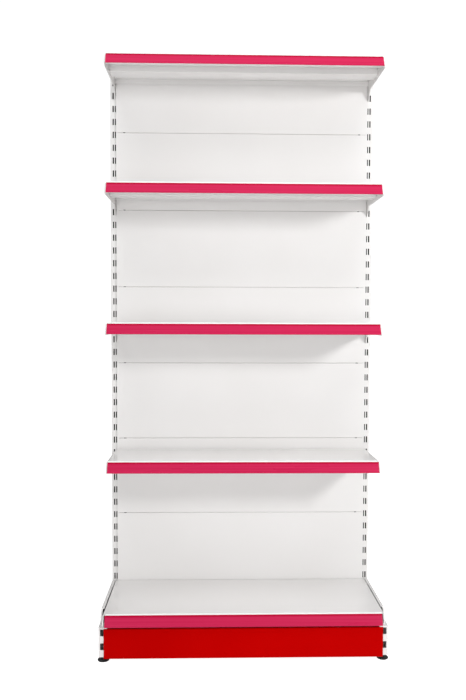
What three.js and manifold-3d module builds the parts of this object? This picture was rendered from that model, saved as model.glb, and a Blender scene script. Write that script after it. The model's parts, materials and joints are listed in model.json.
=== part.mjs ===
// A single-sided gondola shelving bay: two slotted uprights on base feet, seven hook-on back
// panels, a base shelf behind a kick plate, and four shelves on hook-in brackets.
//
// Millimetres, +Z up, the shopper stands at -Y. While the pieces are drawn, y = 0 is the front
// face of the uprights and z = 0 is the floor. The finished group is then moved along Y, so that
// the origin is the middle of the footprint, on the floor.

import * as THREE from 'three';
import { mergeVertices } from 'three/addons/utils/BufferGeometryUtils.js';
import Module from 'manifold-3d';

const wasm = await Module();
wasm.setup();

// ---- Driving dimensions ----------------------------------------------------------------------

const GAP = 0.3; // between pieces that touch
const SHEET = 1.0; // folded sheet steel
const PLATE = 2.5; // bracket and hook plate
const BAY = 1000; // between upright centres
const HALF_BAY = BAY / 2;
const PAST = 1; // how far a cutter runs past what it cuts
const BORE_TOP = 100; // bores for the levelling studs run up from the floor to here

const UPRIGHT = { width: 30, depth: 60, wall: 1.5, bottom: 20, top: 2246 };
const SLOT = { pitch: 50, first: 35, count: 44, width: 5, height: 24.5, column: 4.4 };
const CAP = { height: 4, plug: 18 };
const BASE_PLUG_HEIGHT = 25;

const PANEL = { count: 7, pitch: 300, bottom: 142.4, halfWidth: 493.2, face: -6, rim: 14 };
const HANGER = { low: 40, high: 240, halfSlot: 11, y: 12, thickness: 1.5, webX: 471 };
const HANGER_HOOK = { tooth: 5.7, tip: 2, reach: 3.2, lead: 2, neck: 10 };
const NOTCH = { x: 461, width: 9, height: 2.4 };

const PANEL_CLEARANCE = 1; // between the lowest panel and the base feet

const FOOT = { front: -357, sheet: 2, top: 168.7, stepTop: 127, slotWidth: 18 };
const FOOT_SLOTS = [57.5, 107.5];
const FOOT_STEP = { foot: -314, bend: -303, bendTop: 152, head: -285 }; // y of the slope's corners
const FOOT_LIPS = { inner: 496.4, outer: 503.2 }; // edges of the long slot in the foot's top
const KICK = {
  face: -359.8, sheet: 1.2, bottom: 14, top: 122, halfWidth: 496, flangeHalf: 483.5, depth: 14,
};
const KICK_HOOK = { x: 492.2, neck: 12, tooth: 5, reach: 6 };
const UPRIGHT_HOOK = { neck: 14, tooth: 6.5, reach: 6.5 };
const HOOK_ROOT = 8; // a hook's root ends this far below the middle of its slot

const BASE = { level: 170, front: -357.5, halfWidth: 499.4, noseHalf: 491.8, rearHalf: 484.2 };
const BASE_LAP = 20; // the base shelf's nose starts this far back on its top
const BASE_TOE = [[-15.5, -32], [-11, -34.5]]; // side cheek's lower front corners, from the top one
const BASE_CORNER = { width: 3.4, length: 36 }; // the returns beside the nose
const TRAY = { front: -277.5, rear: -8.7, halfWidth: 494.05, rearFlange: 18, sideFlange: 18 };
const SHELF_LEVELS = [698, 1198, 1698, 2148]; // top faces, lowest shelf first

const NOSE = { length: 39.5, lean: 26.6, flange: 18 }; // lean in degrees, foot of the nose forward
const RIB = { width: 60, height: 24, flange: 14, baseHalf: 484, shelfHalf: 493.8 };
const BRACKET_HOOKS = [63, 13]; // slot centres that carry a bracket, below its shelf's top
const BRACKET_TOE = [[-13.5, -31], [-12.5, -35.5], [-8.5, -39]]; // from the top front corner
const BRACKET_HEEL = [[-46, -39], [-8, -76]]; // lower rear corners, from the upright and the top
const LEDGE = { width: 8, thickness: 2, lap: 1 };
const LEDGE_SPANS = [[-261.5, -190], [-96, -21.7]]; // y of a bracket's two ledges, clear of the rib

// Distances down the nose, apart from the thicknesses.
const STRIP = { halfLength: 491.5, top: -1.0, foot: 41.0, thickness: 1.0 };
const HOLDER = { crown: -5.0, shoulder: -0.4, lipEnd: 0.2, foot: 39.2, wall: 1.2, lipThickness: 0.5 };

const PAD_SOCKET = 6; // height of the floor of the pad's socket
const STUD = { radius: 5, hole: 5.3, top: 55 };
const NUT = { radius: 9.8, height: 5.4, weldedHeight: 8 };
const PAD_PROFILE = [ // [radius, height]
  [0, 0],
  [18, 0],
  [20.2, 1],
  [21, 3.5],
  [18.5, 5.5],
  [10, 9.5],
  [8, 12],
  [STUD.hole, 12],
  [STUD.hole, PAD_SOCKET],
  [0, PAD_SOCKET],
];
const FRONT_FOOT_Y = -335;

// ---- Materials -------------------------------------------------------------------------------

const white = () => new THREE.MeshStandardMaterial({ color: 0xf1f0ee, roughness: 0.35, metalness: 0 });
const crimson = () => new THREE.MeshStandardMaterial({ color: 0xdc1e55, roughness: 0.3, metalness: 0 });
const red = () => new THREE.MeshStandardMaterial({ color: 0xc40303, roughness: 0.35, metalness: 0 });
const black = () => new THREE.MeshStandardMaterial({ color: 0x1b1b1d, roughness: 0.55, metalness: 0 });
const zinc = () => new THREE.MeshStandardMaterial({ color: 0xb9bdc1, roughness: 0.3, metalness: 1 });
const plastic = () => new THREE.MeshStandardMaterial({ color: 0xeeeeec, roughness: 0.25, metalness: 0 });

// ---- Shapes ----------------------------------------------------------------------------------

// A closed three.js geometry as a solid that can be joined and cut.
function solid(geometry) {
  geometry.deleteAttribute('normal');
  geometry.deleteAttribute('uv');
  const merged = mergeVertices(geometry, 1e-4);
  return new wasm.Manifold(new wasm.Mesh({
    numProp: 3,
    vertProperties: new Float32Array(merged.attributes.position.array),
    triVerts: new Uint32Array(merged.index.array),
  }));
}

function box(x0, x1, y0, y1, z0, z1) {
  const geometry = new THREE.BoxGeometry(Math.abs(x1 - x0), y1 - y0, z1 - z0);
  geometry.translate((x0 + x1) / 2, (y0 + y1) / 2, (z0 + z1) / 2);
  return solid(geometry);
}

// A vertical cylinder.
function post(radius, x, y, z0, z1, sides = 24) {
  const geometry = new THREE.CylinderGeometry(radius, radius, z1 - z0, sides);
  geometry.rotateX(Math.PI / 2);
  geometry.translate(x, y, (z0 + z1) / 2);
  return solid(geometry);
}

// An outline given as [along, up] pairs, drawn in the plane of those two axes and extruded.
function extrudeOutline(points, depth) {
  const shape = new THREE.Shape(points.map(([u, v]) => new THREE.Vector2(u, v)));
  return new THREE.ExtrudeGeometry(shape, { depth, bevelEnabled: false });
}

// A [y, z] outline extruded from x0 to x1.
function acrossX(points, x0, x1) {
  const low = Math.min(x0, x1);
  const geometry = extrudeOutline(points, Math.abs(x1 - x0));
  const axes = new THREE.Matrix4().makeBasis(
    new THREE.Vector3(0, 1, 0),
    new THREE.Vector3(0, 0, 1),
    new THREE.Vector3(1, 0, 0),
  );
  geometry.applyMatrix4(axes);
  geometry.translate(low, 0, 0);
  return solid(geometry);
}

// An [x, z] outline extruded from y0 to y1.
function acrossY(points, y0, y1) {
  const geometry = extrudeOutline(points, y1 - y0);
  geometry.rotateX(Math.PI / 2);
  geometry.translate(0, y1, 0);
  return solid(geometry);
}

// The outline of a sheet folded along a line of [y, z] points. The points are on the outer face
// and the thickness is added on the right-hand side of the direction of travel.
function foldedSheet(points, thickness) {
  const path = points.map(([y, z]) => new THREE.Vector2(y, z));
  const inner = path.map((point, i) => {
    const before = path[Math.max(i - 1, 0)];
    const after = path[Math.min(i + 1, path.length - 1)];
    const into = (i > 0 ? point.clone().sub(before) : after.clone().sub(point)).normalize();
    const out = (i < path.length - 1 ? after.clone().sub(point) : into.clone()).normalize();
    const normal = new THREE.Vector2(into.y + out.y, -into.x - out.x).normalize();
    const reach = thickness / normal.dot(new THREE.Vector2(into.y, -into.x));
    return point.clone().addScaledVector(normal, reach);
  });
  return [...path, ...inner.reverse()].map((point) => [point.x, point.y]);
}

function union(...parts) {
  return parts.reduce((whole, part) => whole.add(part));
}

function cut(body, ...tools) {
  return tools.reduce((rest, tool) => rest.subtract(tool), body);
}

// A solid as a named mesh with its own material.
function piece(name, body, material) {
  const mesh = body.getMesh();
  const geometry = new THREE.BufferGeometry();
  geometry.setAttribute('position', new THREE.BufferAttribute(mesh.vertProperties, 3));
  geometry.setIndex(new THREE.BufferAttribute(mesh.triVerts, 1));
  geometry.computeVertexNormals();
  const result = new THREE.Mesh(geometry, material);
  result.name = name;
  return result;
}

// Low and high X of a span that is measured outwards from the middle of the bay.
function span(side, near, far) {
  return side < 0 ? [-far, -near] : [near, far];
}

// ---- Uprights --------------------------------------------------------------------------------

const slotHeights = Array.from({ length: SLOT.count }, (_, i) => SLOT.first + i * SLOT.pitch);
const panelBottoms = Array.from({ length: PANEL.count }, (_, i) => PANEL.bottom + i * PANEL.pitch);
const hangerHeights = panelBottoms.flatMap((z) => [z + HANGER.low, z + HANGER.high]);

// Two columns of bracket slots in the front wall.
function bracketSlots(centreX) {
  return slotHeights.flatMap((z) => [-SLOT.column, SLOT.column].map((offset) => box(
    centreX + offset - SLOT.width / 2, centreX + offset + SLOT.width / 2,
    -PAST, UPRIGHT.wall + PAST, z - SLOT.height / 2, z + SLOT.height / 2,
  )));
}

// One column of panel slots in the wall that faces the bay.
function panelSlots(side) {
  const near = HALF_BAY - UPRIGHT.width / 2;
  const [x0, x1] = span(side, near - PAST, near + UPRIGHT.wall + PAST);
  return hangerHeights.map((z) => box(
    x0, x1, HANGER.y - HANGER.thickness, HANGER.y + 2 * HANGER.thickness,
    z - HANGER.halfSlot, z + HANGER.halfSlot,
  ));
}

function upright(side) {
  const centreX = side * HALF_BAY;
  const half = UPRIGHT.width / 2;
  const wall = UPRIGHT.wall;
  const { bottom, top, depth } = UPRIGHT;
  const outside = box(centreX - half, centreX + half, 0, depth, bottom, top);
  const inside = box(
    centreX - half + wall, centreX + half - wall, wall, depth - wall, bottom - PAST, top + PAST,
  );
  return cut(outside, inside, ...bracketSlots(centreX), ...panelSlots(side));
}

// The block that fills the tube between two heights.
function tubePlug(side, z0, z1) {
  const centreX = side * HALF_BAY;
  const inset = UPRIGHT.wall + GAP;
  const half = UPRIGHT.width / 2 - inset;
  return box(centreX - half, centreX + half, inset, UPRIGHT.depth - inset, z0, z1);
}

function uprightCap(side) {
  const centreX = side * HALF_BAY;
  const half = UPRIGHT.width / 2;
  const lid = box(
    centreX - half, centreX + half, 0, UPRIGHT.depth, UPRIGHT.top + GAP, UPRIGHT.top + CAP.height,
  );
  return union(lid, tubePlug(side, UPRIGHT.top - CAP.plug, UPRIGHT.top + CAP.height / 2));
}

function basePlug(side) {
  const hole = post(STUD.hole, side * HALF_BAY, UPRIGHT.depth / 2, 0, BORE_TOP);
  return cut(tubePlug(side, UPRIGHT.bottom, UPRIGHT.bottom + BASE_PLUG_HEIGHT), hole);
}

// ---- Hooks -----------------------------------------------------------------------------------

// The points of one hook in a slot centred at height z, from its foot to its top. The wall that
// it hangs on runs from wallFace to wallFace + wall.
function hook(z, wallFace, wall, { neck, tooth, reach }) {
  const rest = z - SLOT.height / 2 + GAP;
  const back = wallFace + wall + GAP;
  return [
    [wallFace - GAP, rest],
    [back, rest],
    [back, rest - tooth],
    [back + 0.45 * (reach - wall), rest - tooth],
    [wallFace + reach, rest - 0.4 * tooth],
    [wallFace + reach, rest + neck],
    [wallFace - GAP, rest + neck],
  ];
}

// ---- Back panels -----------------------------------------------------------------------------

// A bent tab behind the panel that drops into a slot in the side of the upright.
function hanger(side, z) {
  const near = HALF_BAY - UPRIGHT.width / 2;
  const rest = z - HANGER.halfSlot + GAP;
  const { tooth, tip, reach, lead, neck } = HANGER_HOOK;
  const foot = rest - tooth;
  const behind = near + UPRIGHT.wall + GAP;
  const outline = [
    [HANGER.webX, foot],
    [near - GAP, foot],
    [near - GAP, rest],
    [behind, rest],
    [behind, foot],
    [behind + tip, foot],
    [behind + reach, rest - lead],
    [behind + reach, rest + neck],
    [HANGER.webX, rest + neck],
  ].map(([x, up]) => [side * x, up]);
  const tab = acrossY(outline, HANGER.y, HANGER.y + HANGER.thickness);
  const [x0, x1] = span(side, HANGER.webX, HANGER.webX + HANGER.thickness);
  const web = box(x0, x1, PANEL.face + SHEET / 2, HANGER.y + HANGER.thickness, foot, rest + neck);
  return union(tab, web);
}

function backPanel(bottom) {
  const z0 = bottom + GAP;
  const z1 = bottom + PANEL.pitch - GAP;
  const w = PANEL.halfWidth;
  const y = PANEL.face;
  const inner = HALF_BAY - UPRIGHT.width / 2 - 2 * GAP;
  const face = box(-w, w, y, y + SHEET, z0, z1);
  const sides = [-1, 1].map((side) => box(...span(side, w - SHEET, w), y, -GAP, z0, z1));
  const rims = [[z0, z0 + SHEET], [z1 - SHEET, z1]].map(
    ([low, high]) => box(-inner, inner, y, y + PANEL.rim, low, high),
  );
  const hangers = [-1, 1].flatMap(
    (side) => [HANGER.low, HANGER.high].map((up) => hanger(side, bottom + up)),
  );
  const notchSpans = [[z0 - PAST, z0 + NOTCH.height], [z1 - NOTCH.height, z1 + PAST]];
  const notches = [-1, 1].flatMap((side) => notchSpans.map(([low, high]) => box(
    ...span(side, NOTCH.x - NOTCH.width / 2, NOTCH.x + NOTCH.width / 2),
    y - PAST, y + SHEET + PAST, low, high,
  )));
  return cut(union(face, ...sides, ...rims, ...hangers), ...notches);
}

// ---- Base feet and kick plate ----------------------------------------------------------------

// A beam of folded sheet that hooks onto the front of the upright. Its top has a long slot, and
// its front end is stepped down to pass under the nose of the base shelf.
function baseFoot(side) {
  const near = HALF_BAY - UPRIGHT.width / 2;
  const far = HALF_BAY + UPRIGHT.width / 2;
  const t = FOOT.sheet;
  const back = -GAP - PLATE;
  const bottom = UPRIGHT.bottom;
  const rearTop = PANEL.bottom - PANEL_CLEARANCE;
  const clearOfPanel = PANEL.face - PANEL_CLEARANCE;
  const cheek = [
    [back, bottom],
    [FOOT.front, bottom],
    [FOOT.front, FOOT.stepTop],
    [FOOT_STEP.foot, FOOT.stepTop],
    [FOOT_STEP.bend, FOOT_STEP.bendTop],
    [FOOT_STEP.head, FOOT.top],
    [clearOfPanel, FOOT.top],
    [clearOfPanel, rearTop],
    [back, rearTop],
  ];
  const cheeks = [[near, near + t], [far - t, far]].map(
    ([low, high]) => acrossX(cheek, ...span(side, low, high)),
  );
  const web = box(...span(side, near, far), FOOT.front, -GAP, bottom, bottom + t);
  const front = box(...span(side, near, far), FOOT.front, FOOT.front + t, bottom, FOOT.stepTop);
  const step = box(
    ...span(side, near, far), FOOT.front, FOOT_STEP.foot, FOOT.stepTop - t, FOOT.stepTop,
  );
  const lips = [[near, FOOT_LIPS.inner], [FOOT_LIPS.outer, far]].map(([low, high]) => box(
    ...span(side, low, high), FOOT_STEP.head, clearOfPanel, FOOT.top - t, FOOT.top,
  ));
  const slope = foldedSheet([
    [FOOT_STEP.head, FOOT.top],
    [FOOT_STEP.bend, FOOT_STEP.bendTop],
    [FOOT_STEP.foot, FOOT.stepTop],
    [FOOT.front, FOOT.stepTop],
  ], -t);
  const halfSlot = FOOT.slotWidth / 2;
  const slopeLips = [[near, HALF_BAY - halfSlot], [HALF_BAY + halfSlot, far]].map(
    ([low, high]) => acrossX(slope, ...span(side, low, high)),
  );
  const rear = box(...span(side, near, far), back, -GAP, bottom, rearTop);
  const weldNut = post(
    NUT.radius, side * HALF_BAY, FRONT_FOOT_Y, bottom + t / 2, bottom + t + NUT.weldedHeight, 6,
  );
  const hookSlots = [slotHeights[1], slotHeights[2]];
  const hooks = [-SLOT.column, SLOT.column].flatMap((column) => hookSlots.map((z) => acrossX(
    [...hook(z, 0, UPRIGHT.wall, UPRIGHT_HOOK), [back, z], [back, z - HOOK_ROOT]],
    side * HALF_BAY + column - PLATE / 2, side * HALF_BAY + column + PLATE / 2,
  )));
  const windows = FOOT_SLOTS.map((z) => box(
    ...span(side, HALF_BAY - halfSlot, HALF_BAY + halfSlot),
    FOOT.front - PAST, FOOT.front + t + PAST, z - SLOT.height / 2, z + SLOT.height / 2,
  ));
  const bore = post(STUD.hole, side * HALF_BAY, FRONT_FOOT_Y, 0, BORE_TOP);
  const body = union(...cheeks, web, front, step, ...lips, ...slopeLips, rear, weldNut, ...hooks);
  return cut(body, ...windows, bore);
}

function kickPlate() {
  const { face, sheet, bottom, top, halfWidth, flangeHalf, depth } = KICK;
  const path = [[face + depth, top], [face, top], [face, bottom], [face + depth, bottom]];
  const channel = acrossX(foldedSheet(path, -sheet), -flangeHalf, flangeHalf);
  const apron = box(-halfWidth, halfWidth, face, face + sheet, bottom, top);
  const hooks = [-1, 1].flatMap((side) => FOOT_SLOTS.map((z) => {
    const root = face + sheet / 2;
    const outline = [...hook(z, FOOT.front, FOOT.sheet, KICK_HOOK), [root, z], [root, z - HOOK_ROOT]];
    return acrossX(outline, ...span(side, KICK_HOOK.x, KICK_HOOK.x + PLATE));
  }));
  return union(channel, apron, ...hooks);
}

// ---- Shelves ---------------------------------------------------------------------------------

const lean = THREE.MathUtils.degToRad(NOSE.lean);

// The [y, z] point at a distance down a nose and out from it, for a nose that starts at [y, z].
function onNose(y, z, down, out) {
  return [
    y - down * Math.sin(lean) - out * Math.cos(lean),
    z - down * Math.cos(lean) + out * Math.sin(lean),
  ];
}

// The leaning front and its return underneath.
function nosePath(front, level) {
  const foot = onNose(front, level, NOSE.length, 0);
  return [[front, level], foot, [foot[0] + NOSE.flange, foot[1]]];
}

function shelfTray(level) {
  const rear = [[TRAY.rear, level - TRAY.rearFlange], [TRAY.rear, level]];
  const path = [...rear, ...nosePath(TRAY.front, level)];
  return acrossX(foldedSheet(path, -SHEET), -TRAY.halfWidth, TRAY.halfWidth);
}

// A wider tray with side cheeks that drop into the base feet.
function baseTray() {
  const { level, front, halfWidth, noseHalf, rearHalf } = BASE;
  const top = box(-halfWidth, halfWidth, front, TRAY.rear, level - SHEET, level);
  const nose = foldedSheet([[front + BASE_LAP, level], ...nosePath(front, level)], -SHEET);
  const rear = box(
    -rearHalf, rearHalf, TRAY.rear - SHEET, TRAY.rear, level - TRAY.rearFlange, level,
  );
  const toe = BASE_TOE.map(([y, z]) => [front + y, level + z]);
  const sole = toe[toe.length - 1][1];
  const cheek = [
    [TRAY.rear, level - SHEET / 2],
    [front, level - SHEET / 2],
    ...toe,
    [FOOT_STEP.foot, sole],
    [FOOT_STEP.bend, level - TRAY.sideFlange],
    [TRAY.rear, level - TRAY.sideFlange],
  ];
  const cheeks = [-1, 1].map((side) => acrossX(cheek, ...span(side, halfWidth - SHEET, halfWidth)));
  const returns = foldedSheet(
    [[front + BASE_LAP, level], [front, level], onNose(front, level, BASE_CORNER.length, 0)], -SHEET,
  );
  const corners = [-1, 1].map(
    (side) => acrossX(returns, ...span(side, halfWidth - BASE_CORNER.width, halfWidth)),
  );
  return union(top, acrossX(nose, -noseHalf, noseHalf), rear, ...cheeks, ...corners);
}

// A hat-shaped stiffener under the middle of a tray.
function shelfRib(front, level, halfLength) {
  const middle = (front + TRAY.rear) / 2;
  const half = RIB.width / 2;
  const up = level - SHEET - GAP;
  const down = up - RIB.height;
  const path = [
    [middle + half + RIB.flange, up],
    [middle + half, up],
    [middle + half, down],
    [middle - half, down],
    [middle - half, up],
    [middle - half - RIB.flange, up],
  ];
  return acrossX(foldedSheet(path, -SHEET), -halfLength, halfLength);
}

function shelfBracket(side, level) {
  const inner = HALF_BAY - SLOT.column - PLATE / 2;
  const front = TRAY.front + GAP;
  const hooks = BRACKET_HOOKS.flatMap((drop) => hook(level - drop, 0, UPRIGHT.wall, UPRIGHT_HOOK));
  const outline = [
    ...hooks,
    [-GAP, level],
    [front, level],
    ...BRACKET_TOE.map(([y, z]) => [front + y, level + z]),
    ...BRACKET_HEEL.map(([y, z]) => [y, level + z]),
    [-GAP, level + BRACKET_HEEL[1][1]],
  ];
  const plate = acrossX(outline, ...span(side, inner, inner + PLATE));
  const ledgeTop = level - SHEET - GAP;
  const ledges = LEDGE_SPANS.map(([y0, y1]) => box(
    ...span(side, inner - LEDGE.width, inner + LEDGE.lap), y0, y1, ledgeTop - LEDGE.thickness, ledgeTop,
  ));
  return union(plate, ...ledges);
}

// The strip's holder on the nose. Its crown stands above the shelf's edge, upright at the back so
// that it doesn't overhang the shelf, and its lip holds the strip's top edge.
function stripHolder(front, level) {
  const top = STRIP.top - GAP;
  const crownBack = GAP + (HOLDER.shoulder - HOLDER.crown) * Math.tan(lean);
  const back = GAP + HOLDER.wall;
  const lip = back + STRIP.thickness + 2 * GAP;
  const face = lip + HOLDER.lipThickness;
  const outline = [
    [HOLDER.crown, crownBack],
    [HOLDER.shoulder, GAP],
    [HOLDER.foot, GAP],
    [HOLDER.foot, back],
    [top, back],
    [top, lip],
    [HOLDER.lipEnd, lip],
    [HOLDER.lipEnd, face],
    [HOLDER.crown, face],
  ].map(([down, out]) => onNose(front, level, down, out));
  return acrossX(outline, -STRIP.halfLength, STRIP.halfLength);
}

// The coloured strip. Its foot is folded under the holder.
function stripInsert(front, level) {
  const near = 2 * GAP + HOLDER.wall;
  const far = near + STRIP.thickness;
  const fold = HOLDER.foot + GAP;
  const outline = [
    [STRIP.top, near],
    [fold, near],
    [fold, GAP],
    [STRIP.foot, GAP],
    [STRIP.foot, far],
    [STRIP.top, far],
  ].map(([down, out]) => onNose(front, level, down, out));
  return acrossX(outline, -STRIP.halfLength, STRIP.halfLength);
}

// ---- Levelling feet --------------------------------------------------------------------------

function levellingPad(x, y) {
  const profile = PAD_PROFILE.map(([radius, height]) => new THREE.Vector2(radius, height));
  const geometry = new THREE.LatheGeometry(profile, 28);
  geometry.rotateX(Math.PI / 2);
  geometry.translate(x, y, 0);
  return solid(geometry);
}

function levellingStud(x, y) {
  return post(STUD.radius, x, y, PAD_SOCKET + GAP, STUD.top, 20);
}

function lockNut(x, y) {
  const top = UPRIGHT.bottom - GAP;
  const hexagon = post(NUT.radius, x, y, top - NUT.height, top, 6);
  return cut(hexagon, post(STUD.hole, x, y, 0, BORE_TOP));
}

// ---- Assembly --------------------------------------------------------------------------------

const bay = new THREE.Group();
const sides = [['left', -1], ['right', 1]];

for (const [word, side] of sides) {
  bay.add(piece(`${word}_upright`, upright(side), white()));
  bay.add(piece(`${word}_upright_cap`, uprightCap(side), plastic()));
  bay.add(piece(`${word}_upright_base_plug`, basePlug(side), black()));
  bay.add(piece(`${word}_base_foot`, baseFoot(side), white()));
  for (const [end, y] of [['front', FRONT_FOOT_Y], ['rear', UPRIGHT.depth / 2]]) {
    bay.add(piece(`${end}_${word}_levelling_pad`, levellingPad(side * HALF_BAY, y), black()));
    bay.add(piece(`${end}_${word}_levelling_stud`, levellingStud(side * HALF_BAY, y), zinc()));
    bay.add(piece(`${end}_${word}_lock_nut`, lockNut(side * HALF_BAY, y), zinc()));
  }
}

panelBottoms.forEach((bottom, i) => {
  bay.add(piece(`back_panel_${i + 1}`, backPanel(bottom), white()));
});

bay.add(piece('kick_plate', kickPlate(), red()));
bay.add(piece('base_shelf', baseTray(), white()));
bay.add(piece('base_shelf_rib', shelfRib(BASE.front, BASE.level, RIB.baseHalf), white()));
bay.add(piece('base_strip_holder', stripHolder(BASE.front, BASE.level), plastic()));
bay.add(piece('base_strip_insert', stripInsert(BASE.front, BASE.level), crimson()));

SHELF_LEVELS.forEach((level, i) => {
  const name = `shelf_${i + 1}`;
  bay.add(piece(`${name}_tray`, shelfTray(level), white()));
  bay.add(piece(`${name}_rib`, shelfRib(TRAY.front, level, RIB.shelfHalf), white()));
  bay.add(piece(`${name}_strip_holder`, stripHolder(TRAY.front, level), plastic()));
  bay.add(piece(`${name}_strip_insert`, stripInsert(TRAY.front, level), crimson()));
  for (const [word, side] of sides) {
    bay.add(piece(`${name}_${word}_bracket`, shelfBracket(side, level), white()));
  }
});

const foremost = new THREE.Box3().setFromObject(bay).min.y;
bay.position.y = -(foremost + UPRIGHT.depth) / 2;

const gondola = new THREE.Group();
gondola.add(bay);

export default gondola;
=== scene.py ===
import json
import math

import bmesh
import bpy
from mathutils import Matrix, Vector


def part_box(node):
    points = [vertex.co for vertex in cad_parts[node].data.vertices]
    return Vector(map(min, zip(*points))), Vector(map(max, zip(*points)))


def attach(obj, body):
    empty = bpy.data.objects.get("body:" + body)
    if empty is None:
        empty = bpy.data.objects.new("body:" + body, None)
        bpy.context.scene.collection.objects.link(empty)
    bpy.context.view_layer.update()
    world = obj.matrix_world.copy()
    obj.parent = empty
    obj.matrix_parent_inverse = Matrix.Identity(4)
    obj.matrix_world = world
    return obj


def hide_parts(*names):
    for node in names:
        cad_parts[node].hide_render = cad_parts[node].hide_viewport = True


# Looks for a single-sided gondola shelving bay. Each piece is drawn in millimetres, with y = 0 on
# the front face of the uprights and z = 0 on the floor, and turned into metres in the frame's own
# place as its mesh is made. Most sizes and places are read from the CAD nodes' boxes.

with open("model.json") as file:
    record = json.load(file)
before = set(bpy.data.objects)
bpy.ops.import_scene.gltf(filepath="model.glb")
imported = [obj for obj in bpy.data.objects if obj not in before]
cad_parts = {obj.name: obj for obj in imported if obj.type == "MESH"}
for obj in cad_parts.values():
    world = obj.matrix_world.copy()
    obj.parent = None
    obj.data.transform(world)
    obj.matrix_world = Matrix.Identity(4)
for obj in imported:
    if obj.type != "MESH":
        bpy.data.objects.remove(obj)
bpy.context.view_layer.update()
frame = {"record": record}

MM = 0.001
SMOOTH_ANGLE = math.radians(38)  # edges that turn less are smooth and not bevelled
FACE_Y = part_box("left_upright")[0].y  # the uprights' front face, in the frame
BODY_OF = {
    node: body
    for body, nodes in frame["record"]["behaviour"]["bodies"].items()
    for node in nodes
}

# ---- Sizes that the boxes don't give, in millimetres ------------------------------------------

GAP = 0.3  # between neighbouring pieces
SHEET = 1.0
PLATE = 2.5
BEND = 1.6  # outer radius of a fold in thin sheet
LAP = 0.9  # the part of a sheet's thickness that a joined sheet runs into
SEAT = 0.1  # keeps the faces of joined solids out of one plane
PAST = 1.0  # how far a cut goes past the face that it opens
WELL_PAST = 5.0  # the same, where nothing else is near

SLOT_PITCH = 50.0
SLOT_FIRST = 35.0
SLOT_COUNT = 44
SLOT_WIDTH = 5.0
SLOT_HEIGHT = 24.5
SLOT_COLUMN = 4.4  # from the upright's middle to the middle of a column of slots
SLOT_CORNER = 0.8
UPRIGHT_WALL = 1.5
UPRIGHT_CORNER = 2.4
PLUG_CORNER = 1.0
CAP_LAP = 0.5  # how far the cap's plug goes into its lid
CAP_DOME = ((0.0, 0.0), (0.0, 0.55), (0.08, 0.75), (0.3, 0.9), (0.9, 1.0))  # (inset, part of rise)

PANEL_COUNT = 7
PANEL_HALF = 493.2  # half the width of the face, over the folded sides
PANEL_RIM_HALF = 484.4  # half the width of the top and bottom rims
PANEL_RIM = 14.0  # depth of those rims
PANEL_BEND = 2.8
PANEL_SIDE_BEND = 1.3
NOTCH_X = 461.0
NOTCH_WIDTH = 9.0
NOTCH_HEIGHT = 1.0
NOTCH_DEPTH = 3.0
HANGER_HEIGHTS = (40.0, 240.0)
HANGER_HALF_SLOT = 11.0  # half the height of its slot in the upright
HANGER_Y = 12.0
HANGER_THICKNESS = 1.5
HANGER_WEB = 471.0  # |x| of the web that joins a hanger to its panel
HANGER_DROP = 5.7  # from the bottom of its slot down to the tooth's end
HANGER_RISE = 10.0
HANGER_REACH = (2.0, 3.2)  # past the upright's wall, at the tooth's end and above its chamfer
HANGER_CHAMFER = 2.0  # from the bottom of its slot down to the chamfer

FOOT_SHEET = 2.0
FOOT_BEND = 2.6
FOOT_STEP_TOP = 127.0
FOOT_SLOPE = ((-314.0, 127.0), (-303.0, 152.0), (-285.0, 168.7))  # (y, z) up from the step
FOOT_LIPS = (496.4, 503.2)  # |x| of the edges of the two lips along the top
FOOT_SLOT_WIDTH = 18.0
FOOT_SLOTS = (57.5, 107.5)
FOOT_BORE = (5.6, 60.0)  # radius and top of the hole for the stud
FOOT_CUT = 20.0  # how far the step's cut goes to each side
FOOT_HOOK_ROOT = 8.0  # height of a hook's root on its plate
WELD_NUT_HEIGHT = 8.0
UPRIGHT_HOOK = {"neck": 14.0, "tooth": 6.5, "reach": 6.5}

KICK_SHEET = 1.2
KICK_BEND = 2.2
KICK_FLANGE = 14.0
KICK_FLANGE_HALF = 483.5  # half the length of the flanges, between the feet
KICK_CUT = 20.0  # reaches past the flanges
KICK_HOOK = {"neck": 12.0, "tooth": 5.0, "reach": 6.0}
KICK_HOOK_X = (492.2, 494.7)
KICK_HOOK_ROOT = 10.0
HOOK_CORNER = 0.5

SHELF_COUNT = 4
NOSE_LENGTH = 39.5
NOSE_FLANGE = 18.0
NOSE_FOLD = 2.0  # from the nose's front back to where its fold has ended
TRAY_FLANGE = 18.0
BASE_CHEEK = 34.5  # height of the base shelf's sides at the front
BASE_REAR_HALF = 484.2  # half the length of the rear flange
BASE_LIP_HALF = 491.8  # half the length of the nose's sheet, without the closed corners
BASE_CORNER = (3.4, 36.0)  # width of a closed front corner, and its length down the nose
RIB_WIDTH = 60.0
RIB_BEND = 1.0
RIB_SPLIT = (-190.0, -96.0)  # the brackets' ledges leave this span to the rib
LEDGE_WIDTH = 8.0
LEDGE_THICKNESS = 2.0
LEDGE_LAP = 0.4  # how far a ledge runs into its plate
LEDGE_FRONT = 16.0  # behind the nose's front
LEDGE_REAR = -21.7
BRACKET_CORNER = 1.2
BRACKET_HOOKS = (63.0, 13.0)  # from the shelf's level down to the slots of the two hooks
BRACKET_TOE = ((0.0, 0.0), (13.5, 31.0), (12.5, 35.5), (8.5, 39.0))  # (ahead of its front, down)
BRACKET_HEEL = ((-46.0, 39.0), (-8.0, 76.0), (-GAP, 76.0))  # (y, down)

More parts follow.
